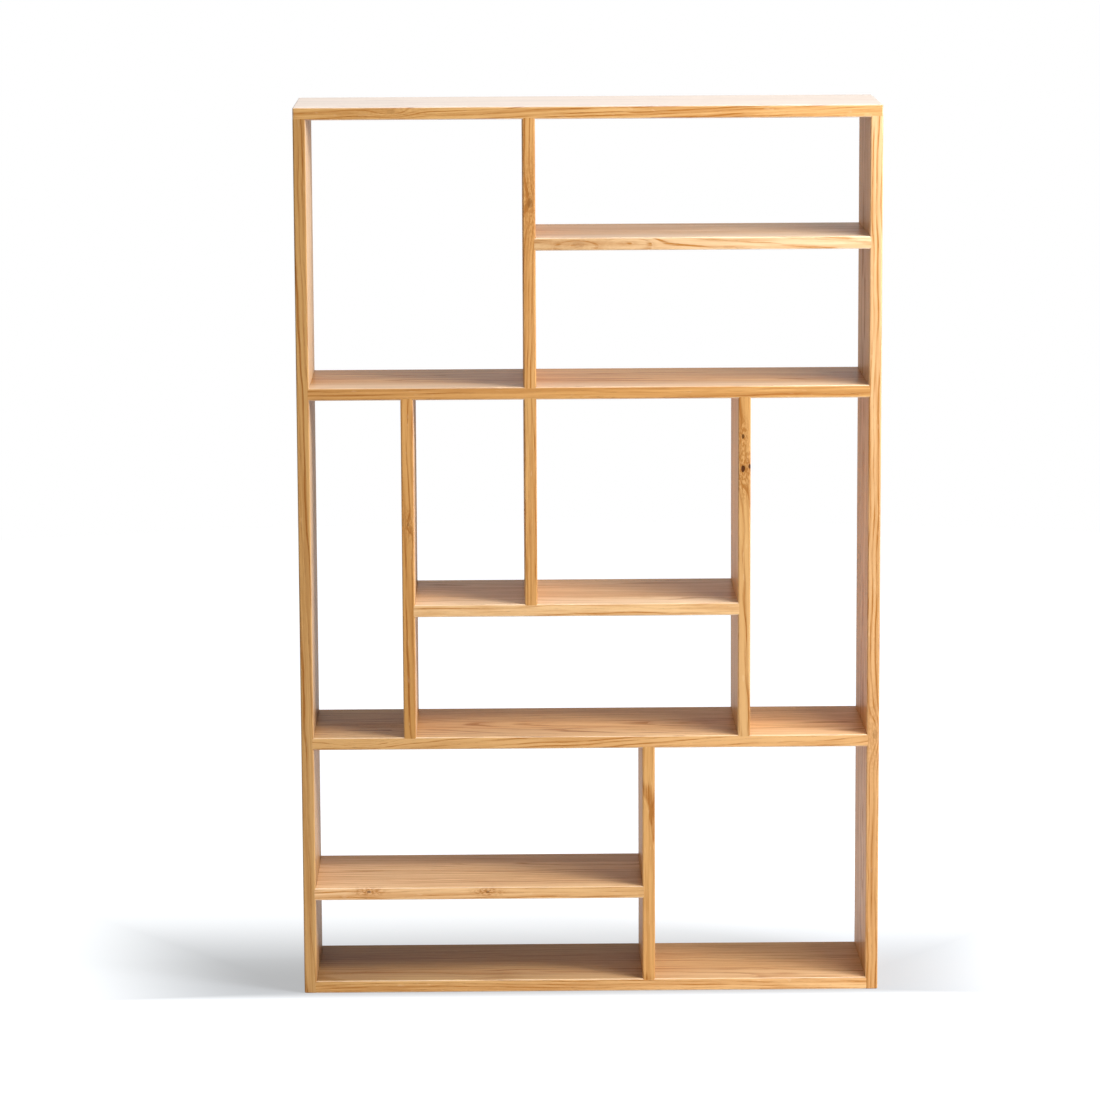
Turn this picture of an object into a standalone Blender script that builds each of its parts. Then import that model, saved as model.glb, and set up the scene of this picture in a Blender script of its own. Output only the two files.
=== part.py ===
"""Open bookcase in solid oak, with eleven compartments open from front to back.

Four boards make the case, and ten shelves and dividers stand inside it. Every board end is
joined to the face that it meets by two loose tenons of beech, glued into blind mortises. Where
two dividers stand in line above and below a shelf, the pair of tenons runs through the shelf
and holds both.

Units are metres and +Z is up. The front faces -Y. The origin is on the floor, in the middle of
the base. The clear sizes of the compartments drive the case, and its outer size follows from
them: 1.200 wide and 1.850 high.
"""

import math
from collections import namedtuple

import bmesh
import bpy
from mathutils import Matrix, Vector

# Stock that all fourteen boards are cut from
BOARD_THICKNESS = 0.026
CASE_DEPTH = 0.300
EDGE_RADIUS = 0.003
EDGE_SEGMENTS = 3

# Clear heights, from the bottom panel to the top panel
BELOW_LOWER_LEFT_SHELF = 0.173
ABOVE_LOWER_LEFT_SHELF = 0.294
BELOW_MIDDLE_SHELF = 0.253
ABOVE_MIDDLE_SHELF = 0.426
BELOW_TOP_RIGHT_SHELF = 0.280
ABOVE_TOP_RIGHT_SHELF = 0.242

# Clear widths of the four bays in the middle row, from left to right
MIDDLE_LEFT_BAY = 0.187
MIDDLE_TALL_BAY = 0.227
MIDDLE_WIDE_BAY = 0.414
MIDDLE_RIGHT_BAY = 0.242

# Clear width of the lower right bay
LOWER_RIGHT_BAY = 0.440

# Loose tenons: round-edged slips, two to a joint, and the mortises that they are glued into
TENON_THICKNESS = 0.008
TENON_WIDTH = 0.022
TENON_IN_FACE = 0.014
TENON_IN_END = 0.026
TENON_SETBACK = 0.060
TENON_CHAMFER = 0.001
MORTISE_PLAY = 0.0003
MORTISE_SPARE_DEPTH = 0.001
ROUND_EDGE_SIDES = 12

# Gap between a board's end and the face that it butts against
JOINT_GAP = 0.0003

# Finishes: linear colours read off the lit faces
OAK_CASE_COLOUR = (0.60, 0.35, 0.145)
OAK_SHELF_COLOUR = (0.64, 0.39, 0.175)
OAK_DIVIDER_COLOUR = (0.58, 0.34, 0.140)
BEECH_COLOUR = (0.62, 0.42, 0.26)
OILED_OAK_ROUGHNESS = 0.48
BEECH_ROUGHNESS = 0.65

# Heights of the shelves' undersides
LOWER_LEFT_SHELF_Z = BOARD_THICKNESS + BELOW_LOWER_LEFT_SHELF
LOWER_LONG_SHELF_Z = LOWER_LEFT_SHELF_Z + BOARD_THICKNESS + ABOVE_LOWER_LEFT_SHELF
MIDDLE_SHELF_Z = LOWER_LONG_SHELF_Z + BOARD_THICKNESS + BELOW_MIDDLE_SHELF
UPPER_LONG_SHELF_Z = MIDDLE_SHELF_Z + BOARD_THICKNESS + ABOVE_MIDDLE_SHELF
TOP_RIGHT_SHELF_Z = UPPER_LONG_SHELF_Z + BOARD_THICKNESS + BELOW_TOP_RIGHT_SHELF
TOP_PANEL_Z = TOP_RIGHT_SHELF_Z + BOARD_THICKNESS + ABOVE_TOP_RIGHT_SHELF

# Left faces of the uprights
CLEAR_WIDTH = (MIDDLE_LEFT_BAY + MIDDLE_TALL_BAY + MIDDLE_WIDE_BAY + MIDDLE_RIGHT_BAY
               + 3 * BOARD_THICKNESS)
LEFT_FACE = -CLEAR_WIDTH / 2
RIGHT_FACE = CLEAR_WIDTH / 2
MIDDLE_LEFT_DIVIDER_X = LEFT_FACE + MIDDLE_LEFT_BAY
CENTER_LINE_DIVIDER_X = MIDDLE_LEFT_DIVIDER_X + BOARD_THICKNESS + MIDDLE_TALL_BAY
MIDDLE_RIGHT_DIVIDER_X = CENTER_LINE_DIVIDER_X + BOARD_THICKNESS + MIDDLE_WIDE_BAY
LOWER_DIVIDER_X = RIGHT_FACE - LOWER_RIGHT_BAY - BOARD_THICKNESS

# A board lies along X or stands along Z. Its eased ends are those that stay open to view.
Board = namedtuple("Board", "name along start end side eased_ends finish")

# A tenon lies along its frame's Z from low to high, in the boards that it names.
Tenon = namedtuple("Tenon", "name frame low high boards")


def shelf(name, left, right, underside, finish="oak_shelf"):
    """A board between two uprights, short of each by the joint gap."""
    return Board(name, "X", left + JOINT_GAP, right - JOINT_GAP, underside, (), finish)


def divider(name, foot, head, left_face):
    """A board between two horizontals, short of each by the joint gap."""
    return Board(name, "Z", foot + JOINT_GAP, head - JOINT_GAP, left_face, (), "oak_divider")


def case_side(name, left_face):
    """A side of the case: it stands on the floor and carries the top panel."""
    return Board(name, "Z", 0.0, TOP_PANEL_Z - JOINT_GAP, left_face, ("start",), "oak_case")


def shelf_top(underside):
    """Height of the upper face of a board with this underside."""
    return underside + BOARD_THICKNESS


def right_face(left_face):
    """Right face of an upright with this left face."""
    return left_face + BOARD_THICKNESS


BOARDS = (
    case_side("left_side_panel", LEFT_FACE - BOARD_THICKNESS),
    case_side("right_side_panel", RIGHT_FACE),
    Board("top_panel", "X", LEFT_FACE - BOARD_THICKNESS, RIGHT_FACE + BOARD_THICKNESS,
          TOP_PANEL_Z, ("start", "end"), "oak_case"),
    shelf("bottom_panel", LEFT_FACE, RIGHT_FACE, 0.0, "oak_case"),
    shelf("lower_long_shelf", LEFT_FACE, RIGHT_FACE, LOWER_LONG_SHELF_Z),
    shelf("upper_long_shelf", LEFT_FACE, RIGHT_FACE, UPPER_LONG_SHELF_Z),
    shelf("lower_left_shelf", LEFT_FACE, LOWER_DIVIDER_X, LOWER_LEFT_SHELF_Z),
    shelf("middle_shelf", right_face(MIDDLE_LEFT_DIVIDER_X), MIDDLE_RIGHT_DIVIDER_X,
          MIDDLE_SHELF_Z),
    shelf("top_right_shelf", right_face(CENTER_LINE_DIVIDER_X), RIGHT_FACE, TOP_RIGHT_SHELF_Z),
    divider("lower_divider", BOARD_THICKNESS, LOWER_LONG_SHELF_Z, LOWER_DIVIDER_X),
    divider("middle_left_divider", shelf_top(LOWER_LONG_SHELF_Z), UPPER_LONG_SHELF_Z,
            MIDDLE_LEFT_DIVIDER_X),
    divider("middle_center_divider", shelf_top(MIDDLE_SHELF_Z), UPPER_LONG_SHELF_Z,
            CENTER_LINE_DIVIDER_X),
    divider("middle_right_divider", shelf_top(LOWER_LONG_SHELF_Z), UPPER_LONG_SHELF_Z,
            MIDDLE_RIGHT_DIVIDER_X),
    divider("upper_divider", shelf_top(UPPER_LONG_SHELF_Z), TOP_PANEL_Z, CENTER_LINE_DIVIDER_X),
)

# The board whose end meets a face, and the board that has the face
JOINTS = (
    ("left_side_panel", "top_panel"),
    ("right_side_panel", "top_panel"),
    ("bottom_panel", "left_side_panel"),
    ("bottom_panel", "right_side_panel"),
    ("lower_long_shelf", "left_side_panel"),
    ("lower_long_shelf", "right_side_panel"),
    ("upper_long_shelf", "left_side_panel"),
    ("upper_long_shelf", "right_side_panel"),
    ("upper_divider", "top_panel"),
    ("top_right_shelf", "upper_divider"),
    ("top_right_shelf", "right_side_panel"),
    ("middle_left_divider", "upper_long_shelf"),
    ("middle_left_divider", "lower_long_shelf"),
    ("middle_right_divider", "upper_long_shelf"),
    ("middle_right_divider", "lower_long_shelf"),
    ("middle_shelf", "middle_left_divider"),
    ("middle_shelf", "middle_right_divider"),
    ("middle_center_divider", "middle_shelf"),
    ("lower_divider", "lower_long_shelf"),
    ("lower_divider", "bottom_panel"),
    ("lower_left_shelf", "left_side_panel"),
    ("lower_left_shelf", "lower_divider"),
)

# The two dividers that stand in line, and the shelf between them
IN_LINE_JOINT = ("upper_divider", "upper_long_shelf", "middle_center_divider")


def clear_scene():
    """Remove every object that the file starts with."""
    for thing in list(bpy.data.objects):
        bpy.data.objects.remove(thing, do_unlink=True)


def make_material(name, colour, roughness):
    """A plain Principled finish."""
    material = bpy.data.materials.new(name)
    material.use_nodes = True
    shader = material.node_tree.nodes["Principled BSDF"]
    shader.inputs["Base Color"].default_value = (*colour, 1.0)
    shader.inputs["Roughness"].default_value = roughness
    shader.inputs["Metallic"].default_value = 0.0
    material.diffuse_color = (*colour, 1.0)
    return material


def make_collection(name):
    """A collection under the scene's own."""
    collection = bpy.data.collections.new(name)
    bpy.context.scene.collection.children.link(collection)
    return collection


def board_center(board):
    """Middle of a board in the case."""
    middle = (board.start + board.end) / 2
    across = board.side + BOARD_THICKNESS / 2
    if board.along == "X":
        return Vector((middle, 0.0, across))
    return Vector((across, 0.0, middle))


def board_blank(board):
    """A cuboid with its length on X, marked with the arrises that the easing follows.

    Shelves and dividers keep square ends, because they butt against a face.
    """
    half_length = (board.end - board.start) / 2
    bm = bmesh.new()
    bmesh.ops.create_cube(bm, size=1.0)
    bmesh.ops.scale(bm, vec=(2 * half_length, CASE_DEPTH, BOARD_THICKNESS), verts=bm.verts)
    weights = bm.edges.layers.float.new("bevel_weight_edge")
    for edge in bm.edges:
        offsets = [corner.co.x / half_length for corner in edge.verts]
        at_start = max(offsets) < 0
        at_end = min(offsets) > 0
        runs_along = not at_start and not at_end
        eased_start = at_start and "start" in board.eased_ends
        eased_end = at_end and "end" in board.eased_ends
        edge[weights] = 1.0 if runs_along or eased_start or eased_end else 0.0
    mesh = bpy.data.meshes.new(board.name)
    bm.to_mesh(mesh)
    bm.free()
    return mesh


def add_board(board, material, collection, parent):
    """A board in its place, with its arrises eased."""
    blank = bpy.data.objects.new(board.name, board_blank(board))
    blank.data.materials.append(material)
    blank.parent = parent
    blank.location = board_center(board)
    if board.along == "Z":
        blank.rotation_euler = (0.0, -math.pi / 2, 0.0)
    collection.objects.link(blank)
    easing = blank.modifiers.new("eased arrises", "BEVEL")
    easing.limit_method = "WEIGHT"
    easing.width = EDGE_RADIUS
    easing.segments = EDGE_SEGMENTS
    return blank


def joint_frame(end_board, face_board):
    """Frame of a joint: its origin on the face board's surface, its +Z into the end board."""
    end_center = board_center(end_board)
    face_center = board_center(face_board)
    axis = Vector((1, 0, 0)) if end_board.along == "X" else Vector((0, 0, 1))
    forwards = (end_center - face_center).dot(axis) > 0
    into_end = axis if forwards else -axis
    across = face_center - end_center
    surface = end_center + axis * across.dot(axis) + into_end * BOARD_THICKNESS / 2
    turn = math.atan2(into_end.x, into_end.z)
    return Matrix.Translation(surface) @ Matrix.Rotation(turn, 4, "Y")


def tenon_pair(name, frame, low, high, boards):
    """The front and back tenons of a joint, each in its own place across the boards' depth."""
    reach = CASE_DEPTH / 2 - TENON_SETBACK
    front = frame @ Matrix.Translation((0.0, -reach, 0.0))
    back = frame @ Matrix.Translation((0.0, reach, 0.0))
    return [
        Tenon(name + "_front", front, low, high, boards),
        Tenon(name + "_back", back, low, high, boards),
    ]


def all_tenons(board_of):
    """Every loose tenon in the bookcase."""
    tenons = []
    for end_name, face_name in JOINTS:
        frame = joint_frame(board_of[end_name], board_of[face_name])
        name = f"tenon_{end_name}_to_{face_name}"
        tenons += tenon_pair(name, frame, -TENON_IN_FACE, TENON_IN_END, (end_name, face_name))
    upper_name, shelf_name, lower_name = IN_LINE_JOINT
    frame = joint_frame(board_of[upper_name], board_of[shelf_name])
    low = -BOARD_THICKNESS - TENON_IN_END
    tenons += tenon_pair("through_tenon_in_" + shelf_name, frame, low, TENON_IN_END, IN_LINE_JOINT)
    return tenons


def round_edged_slip(bm, thickness, width, low, high):
    """A closed slip along Z, with its width on Y and its edges rounded; returns its vertices.

    It is a turned rod whose two halves are drawn apart. The rod's facets stand square to X and Y,
    so its radius is taken to their corners.
    """
    radius = thickness / 2 / math.cos(math.pi / ROUND_EDGE_SIDES)
    half_facet = Matrix.Rotation(math.pi / ROUND_EDGE_SIDES, 4, "Z")
    place = Matrix.Translation((0.0, 0.0, (low + high) / 2)) @ half_facet
    made = bmesh.ops.create_cone(bm, cap_ends=True, segments=ROUND_EDGE_SIDES, radius1=radius,
                                 radius2=radius, depth=high - low, matrix=place)
    for corner in made["verts"]:
        corner.co.y += math.copysign((width - thickness) / 2, corner.co.y)
    return made["verts"]


def tenon_mesh(tenon):
    """A slip with chamfered ends."""
    bm = bmesh.new()
    round_edged_slip(bm, TENON_THICKNESS, TENON_WIDTH, tenon.low + TENON_CHAMFER,
                     tenon.high - TENON_CHAMFER)
    ends = [face for face in bm.faces if len(face.verts) == ROUND_EDGE_SIDES]
    bmesh.ops.inset_individual(bm, faces=ends, thickness=TENON_CHAMFER, depth=TENON_CHAMFER)
    mesh = bpy.data.meshes.new(tenon.name)
    bm.to_mesh(mesh)
    bm.free()
    mesh.shade_smooth()
    mesh.set_sharp_from_angle(angle=math.radians(40))
    return mesh


def add_tenon(tenon, material, collection, parent):
    """A tenon in its mortises."""
    slip = bpy.data.objects.new(tenon.name, tenon_mesh(tenon))
    slip.data.materials.append(material)
    slip.parent = parent
    slip.matrix_local = tenon.frame
    collection.objects.link(slip)
    return slip


def add_mortises(board_name, tenons, collection):
    """One cutter with every mortise of a board."""
    bm = bmesh.new()
    for tenon in tenons:
        made = round_edged_slip(bm, TENON_THICKNESS + 2 * MORTISE_PLAY,
                                TENON_WIDTH + 2 * MORTISE_PLAY,
                                tenon.low - MORTISE_SPARE_DEPTH, tenon.high + MORTISE_SPARE_DEPTH)
        bmesh.ops.transform(bm, matrix=tenon.frame, verts=made)
    mesh = bpy.data.meshes.new(board_name + "_mortises")
    bm.to_mesh(mesh)
    bm.free()
    cutter = bpy.data.objects.new(board_name + "_mortises", mesh)
    cutter.hide_render = True
    cutter.display_type = "WIRE"
    collection.objects.link(cutter)
    return cutter


def build_bookcase():
    """Cut the boards, mortise them for their joints and set the tenons."""
    clear_scene()
    pieces = make_collection("bookcase")
    cutters = make_collection("cutters")
    case = bpy.data.objects.new("case", None)
    pieces.objects.link(case)

    finishes = {
        "oak_case": make_material("oak_case", OAK_CASE_COLOUR, OILED_OAK_ROUGHNESS),
        "oak_shelf": make_material("oak_shelf", OAK_SHELF_COLOUR, OILED_OAK_ROUGHNESS),
        "oak_divider": make_material("oak_divider", OAK_DIVIDER_COLOUR, OILED_OAK_ROUGHNESS),
        "beech_tenon": make_material("beech_tenon", BEECH_COLOUR, BEECH_ROUGHNESS),
    }

    tenons = all_tenons({board.name: board for board in BOARDS})
    for tenon in tenons:
        add_tenon(tenon, finishes["beech_tenon"], pieces, case)

    for board in BOARDS:
        blank = add_board(board, finishes[board.finish], pieces, case)
        let_in = [tenon for tenon in tenons if board.name in tenon.boards]
        mortising = blank.modifiers.new("mortises", "BOOLEAN")
        mortising.operation = "DIFFERENCE"
        mortising.object = add_mortises(board.name, let_in, cutters)


build_bookcase()
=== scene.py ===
"""Open bookcase in solid oak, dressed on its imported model.

The fourteen boards are glued up from oak staves by a Geometry Nodes tree and carry a solid oak
figure: growth rings round each stave's own pith, pores, rays and small knots. The loose tenons
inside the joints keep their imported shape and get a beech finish. Run it as a script in Blender.
Units are metres, +Z is up, and the front faces -Y.
"""

import math
from collections import namedtuple

import bmesh
import bpy
from bpy.props import FloatProperty, FloatVectorProperty, IntProperty, PointerProperty
from bpy.types import Operator, Panel, PropertyGroup
from mathutils import Matrix, Vector


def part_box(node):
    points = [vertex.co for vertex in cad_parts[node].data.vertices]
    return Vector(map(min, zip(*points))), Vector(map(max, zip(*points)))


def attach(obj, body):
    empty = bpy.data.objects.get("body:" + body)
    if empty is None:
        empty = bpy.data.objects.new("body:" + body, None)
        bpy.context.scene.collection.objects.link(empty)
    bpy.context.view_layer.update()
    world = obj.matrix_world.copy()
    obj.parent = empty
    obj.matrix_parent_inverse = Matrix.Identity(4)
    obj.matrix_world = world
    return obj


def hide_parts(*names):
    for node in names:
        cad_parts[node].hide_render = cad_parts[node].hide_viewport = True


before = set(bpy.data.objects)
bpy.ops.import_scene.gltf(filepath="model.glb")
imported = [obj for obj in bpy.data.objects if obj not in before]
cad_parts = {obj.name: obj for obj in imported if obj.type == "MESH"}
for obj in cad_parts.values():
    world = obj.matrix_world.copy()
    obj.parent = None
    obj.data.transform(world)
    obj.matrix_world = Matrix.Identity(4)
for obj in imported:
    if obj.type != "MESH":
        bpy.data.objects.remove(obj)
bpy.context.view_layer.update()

bl_info = {
    "name": "Open Oak Bookcase",
    "version": (1, 0, 0),
    "blender": (4, 5, 0),
    "location": "3D View > Sidebar > Bookcase",
    "description": "Glues up the oak boards of an open bookcase and sets its studio",
    "category": "Object",
}

# Rows of vertices that turn an arris, and the strip that keeps the flat faces flat
EASING_STEPS = 3
HOLDING_STRIP = 0.0006
END_ROWS = EASING_STEPS + 1
SAME_PLACE = 0.00002
SHARP_ANGLE = math.radians(40)
END_GRAIN_SLOPE = 0.7
NEARLY_NOTHING = 1e-9

# Where a stave grew: the least distance from its middle to the pith and how much more there may
# be, how far it may lean off the pith in a metre, how long the log is, and what sets its three
# draws of chance apart
NEAREST_PITH = 0.045
PITH_SPREAD = 0.17
PITH_LEAN = 0.04
LOG_LENGTH = 9.0
DRAW_STEP = 1000.0

# A knot on a front edge: its place along the grain, its offset across the board, its radius and
# how dark its heart is; a heart of 0 only bends the rings round it
Knot = namedtuple("Knot", "along across radius heart")

# An end is eased where it stands free, scribed over the eased front and back arrises of the
# board that it meets, or scribed over that board's end arris too
FREE = "free"
SCRIBED = "scribed"
SCRIBED_OUTSIDE = "scribed outside"

# How far back the painted light, a pale strip of painted daylight, reaches on a shelf, on a shaded
# divider, and on a face that nothing shades
FRONT_STRIP = 0.11
DIVIDER_FRONT = 0.20
WHOLE_FACE = 10.0

# A pair of values, for the start and the end of a board
EVEN = (1.0, 1.0)
NOWHERE = (0.0, 0.0)

# A board's node, the way its grain runs and its figure's seed. Then, at its start and at its end,
# how bright and how pale its oak is. Then how far the oak leans to red, its gloss, and how its
# ends are cut. Then, again at both ends, the painted light and shade on its wide faces, as their
# brightness beside that of its edges, and how strongly its open face is painted pale with light
# and sheen where light falls. Last, how far back that painted light reaches, its knots, and, for
# a matt board, how bright its painted sheen, a near-white face, is at both ends
Board = namedtuple("Board",
                   "node grain seed bright pale warm gloss start end face bleach reach knots dry",
                   defaults=(SCRIBED, SCRIBED, EVEN, NOWHERE, FRONT_STRIP, (), None))

# How pale the eased arrises are worn and painted, on the shelves and on the uprights: on the
# shelves mostly a painted highlight along the front arris on top of real wear, on the uprights
# slight wear
SHELF_WEAR_AND_HIGHLIGHT = 0.64
UPRIGHT_WEAR = 0.06

# In these tables the wide faces' brightness, the pale daylight on shelf fronts and faces and the
# near-white matt top are painted light, shade and sheen, not the oak's own tone
CASE_BOARDS = (
    Board("left_side_panel", "Z", 11, bright=(0.93, 0.81), pale=(0.12, 0.05), warm=0.48,
          gloss=0.05, start=FREE, end=SCRIBED_OUTSIDE, face=(0.74, 1.0), bleach=(0.04, 0.30),
          reach=WHOLE_FACE),
    Board("right_side_panel", "Z", 658, bright=(0.94, 0.80), pale=(0.18, 0.58), warm=0.85,
          gloss=0.05, start=FREE, end=SCRIBED_OUTSIDE, face=(0.93, 1.16),
          knots=(Knot(0.545, 0.004, 0.006, 0.2),)),
    Board("top_panel", "X", 31, bright=(0.94, 0.75), pale=(0.09, 0.22), warm=0.45, gloss=0.0,
          start=FREE, end=FREE, bleach=(0.84, 0.84), reach=WHOLE_FACE,
          knots=(Knot(-0.400, 0.003, 0.005, 0.15),), dry=(1.0, 0.63)),
    Board("bottom_panel", "X", 47, bright=(0.95, 1.06), pale=(0.08, 0.38), warm=0.35, gloss=0.0,
          face=(0.60, 0.92), bleach=(0.02, 0.10)),
)
SHELF_BOARDS = (
    Board("upper_long_shelf", "X", 57, bright=(0.94, 0.86), pale=(0.06, 0.06), warm=0.52,
          gloss=0.17, bleach=(0.38, 0.24)),
    Board("lower_long_shelf", "X", 61, bright=(0.99, 1.00), pale=(0.14, 0.28), warm=0.62,
          gloss=0.06, face=(0.84, 1.06), bleach=(0.08, 0.12),
          knots=(Knot(-0.470, 0.010, 0.009, 0.0),)),
    Board("middle_shelf", "X", 71, bright=(1.06, 0.97), pale=(0.45, 0.42), warm=0.10,
          gloss=0.14, bleach=(0.22, 0.28)),
    Board("lower_left_shelf", "X", 83, bright=(1.20, 0.98), pale=(0.66, 0.26), warm=0.35,
          gloss=0.08, face=(0.95, 1.0), bleach=(0.04, 0.08),
          knots=(Knot(-0.463, 0.005, 0.0022, 0.75), Knot(-0.215, 0.003, 0.0022, 0.60))),
    Board("top_right_shelf", "X", 97, bright=(0.85, 0.88), pale=(0.45, 1.00), warm=0.20,
          gloss=0.17, bleach=(0.36, 0.22),
          knots=(Knot(-0.020, 0.000, 0.007, 0.1), Knot(0.085, 0.004, 0.006, 0.0))),
)
DIVIDER_BOARDS = (
    Board("upper_divider", "Z", 103, bright=(0.95, 0.88), pale=(0.12, 0.08), warm=0.70,
          gloss=0.06, knots=(Knot(1.653, 0.002, 0.006, 0.35),)),
    Board("middle_left_divider", "Z", 113, bright=(0.76, 0.88), pale=(0.02, 0.08), warm=0.62,
          gloss=0.03, face=(1.06, 1.06), bleach=(0.24, 0.24), reach=DIVIDER_FRONT,
          knots=(Knot(0.992, 0.001, 0.0024, 0.4),)),
    Board("middle_center_divider", "Z", 127, bright=(0.95, 0.86), pale=(0.08, 0.08), warm=0.55,
          gloss=0.06),
    Board("middle_right_divider", "Z", 131, bright=(0.93, 0.85), pale=(0.22, 0.05), warm=0.50,
          gloss=0.06, face=(1.05, 1.68), bleach=(0.0, 0.26), reach=WHOLE_FACE,
          knots=(Knot(1.171, -0.003, 0.0028, 0.85), Knot(1.104, -0.003, 0.0042, 1.0),
                 Knot(1.109, 0.0105, 0.0027, 1.0))),
    Board("lower_divider", "Z", 149, bright=(1.02, 0.95), pale=(0.08, 0.08), warm=0.60,
          gloss=0.05),
)

# A pattern of noise: its cells to the metre along the grain and across it, its detail and
# roughness, the two values of noise between which it sets in, and how strong it is below the
# first and above the second
Pattern = namedtuple("Pattern", "cells detail rough low high weak strong",
                     defaults=(0.5, 0.0, 1.0, 0.0, 1.0))

MEAN_NOISE = 0.5
RING_DRIFT = Pattern((3.4, 8.0, 8.0), 2.0)
RING_WOBBLE = Pattern((11.0, 70.0, 70.0), 3.0)
RING_PACE = Pattern((55.0, 1.0, 1.0), 1.0)
RING_BREAKS = Pattern((3.5, 40.0, 40.0), 2.0, low=0.35, high=0.65, weak=0.42, strong=1.30)
RING_THREADS = Pattern((6.0, 360.0, 360.0), 2.0, low=0.38, high=0.62, weak=0.40, strong=1.50)
STREAKS = Pattern((1.5, 130.0, 130.0), 3.0, rough=0.6, low=0.36, high=0.64)
FIBRE = Pattern((16.0, 820.0, 820.0), 3.0, rough=0.6)
PORES = Pattern((55.0, 2100.0, 2100.0), 1.0, low=0.60, high=0.70)
RAYS = Pattern((38.0, 60.0, 45.0), 2.0, low=0.66, high=0.74)
RED_PATCHES = Pattern((0.8, 11.0, 11.0), 2.0, low=0.35, high=0.65)
KNOT_OUTLINE = Pattern((90.0, 20.0, 140.0), 2.0)
KNOT_MOTTLE = Pattern((120.0, 40.0, 330.0), 2.0, low=0.45, high=0.55, weak=0.2)
WORN_PATCHES = Pattern((9.0, 60.0, 60.0), 3.0, low=0.25, high=0.7, weak=0.45)
PAINTED_LIGHT_PATCHES = Pattern((3.0, 14.0, 14.0), 2.0)
BEECH_CLOUDS = Pattern((30.0, 30.0, 30.0), 3.0)
BEECH_GRAIN = Pattern((500.0, 1800.0, 500.0), 2.0)
BEECH_FLECKS = BEECH_GRAIN._replace(low=0.62, high=0.72)
FLOOR_GRAIN = Pattern((3.0, 3.0, 3.0), 2.0)

# How far the rings stray on a small scale, and how unevenly wide they are
WOBBLE_SIZE = 0.0022
PACE_SIZE = 0.012
ACROSS_GRAIN = (0.0, 1.0, 1.0)

# Between which phases of a ring its early wood begins and ends and its late wood begins, and how
# strongly the faintest ring shows and the strongest one more
EARLY_BEGINS = (0.0, 0.10)
EARLY_ENDS = (0.14, 0.50)
LATE_BEGINS = (0.70, 1.0)
FAINTEST_RING = 0.25
RING_CONTRAST = 0.9
PORES_IN_EARLY = 0.85
PORES_ANYWHERE = 0.12

# What each part of the figure adds to the oak's depth, from light wood at 0 to deep wood at 1, to
# its roughness and to its relief
DEPTH_WEIGHTS = {"ring": 1.0, "late wood": 0.18, "streaks": 0.50, "fibre": 0.75, "stave": 0.22}
LEAST_DEPTH = -0.565
ROUGHNESS_WEIGHTS = {"early wood": 0.07, "pores": 0.15, "fibre": 0.06, "end grain": 0.15,
                     "wear": -0.20}
PLAIN_ROUGHNESS = 0.50
RELIEF_WEIGHTS = {"fibre": 0.35, "pores": -0.9, "early wood": -0.25}

# How strongly the oak's colours show in one another
RED_PATCH_SHARE = 0.5
LEAST_RED = -0.2
RED_IN_PALE_DEEP = 0.55
PORE_DARKNESS = 0.38
RAY_PALENESS = 0.22
HALO_DARKNESS = 0.90
DULLEST_STAVE = 0.905
STAVE_CONTRAST = 0.14
END_GRAIN_SHADE = -0.26
WORN_AND_LIT_BRIGHTNESS = 1.045
WORN_AND_LIT_FIGURE = -0.12
WOODS = ("Light Wood", "Deep Wood", "Red Wood", "Pale Wood", "Bleached Wood", "Knot Wood")

# A knot: how far its outline is bent, and how it and the rings round it are drawn out along the
# grain. Then between which shares of its radius its heart and halo end, and at which depths
# behind the front edge. Last, how far round it the rings bend and how high they are lifted, in
# its radii, and how much stronger its halo is than its heart
KNOT_BEND = (0.004, 0.0, 0.003)
KNOT_DRAWN_OUT = (0.55, 0.0, 1.0)
RINGS_DRAWN_OUT = (0.28, 0.0, 1.0)
HEART_EDGE = (0.80, 1.05)
HALO_EDGE = (0.5, 3.0)
HEART_BACK = (0.03, 0.075)
HALO_BACK = (0.004, 0.022)
RINGS_REACH = 2.2
RINGS_LIFT = 2.6
HALO_TO_HEART = 2.0

# Where an arris counts as worn and painted with its highlight, how thick the skin of painted light
# on a face is, and how unevenly it ends at the back
WORN_ARRIS = (0.05, 0.9)
PAINTED_LIGHT_SKIN = (0.0002, 0.0012)
PAINTED_LIGHT_END = (0.15, 1.0)
PAINTED_LIGHT_STRAY = 0.35

# How far from the front and back edges a wide face's painted light and shade gives way to the
# edges' brightness
FACE_TO_EDGE = (0.003, 0.0005)

# Specular level of oiled oak; a matt board with a painted sheen has none
OILED_SPECULAR = 0.14
OAK_IOR = 1.45
GLOSS_ROUGHNESS = 0.18
RELIEF_STRENGTH = 0.6
OAK_RELIEF = 0.0004
BEECH_RELIEF = 0.0002

BEECH_LIGHT = (0.66, 0.46, 0.29, 1.0)
BEECH_DEEP = (0.57, 0.37, 0.22, 1.0)
BEECH_FLECK = (0.38, 0.21, 0.11, 1.0)
FLECK_STRENGTH = 0.5
BEECH_ROUGHNESS = 0.6
BEECH_UNEVEN = 0.1

# The patch of floor round the bookcase that glows less, a painted grey shadow over the bookcase's
# real shadow: between which places it gives way to open floor on each side, and how much of the
# open floor's glow is left in it
SHADOW_LEFT = (-1.20, -0.66)
SHADOW_RIGHT = (0.56, 1.12)
SHADOW_FRONT = (-0.22, -0.145)
SHADOW_BACK = (-0.05, 0.66)
SHADOW_GLOW = 0.45
FLOOR_RADIUS = 6.0
FLOOR_SPECK = (0.74, 0.75, 0.76, 1.0)
FLOOR_SPECK_STRENGTH = 0.03
FLOOR_SEEN = (0.20, 0.210, 0.226, 1.0)
FLOOR_GLOW = (0.965, 0.985, 1.0, 1.0)
WHITE = (1.0, 1.0, 1.0, 1.0)

# A studio lamp: where it hangs, its two sides and the setting that holds its power
Lamp = namedtuple("Lamp", "name spot width height power")

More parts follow.
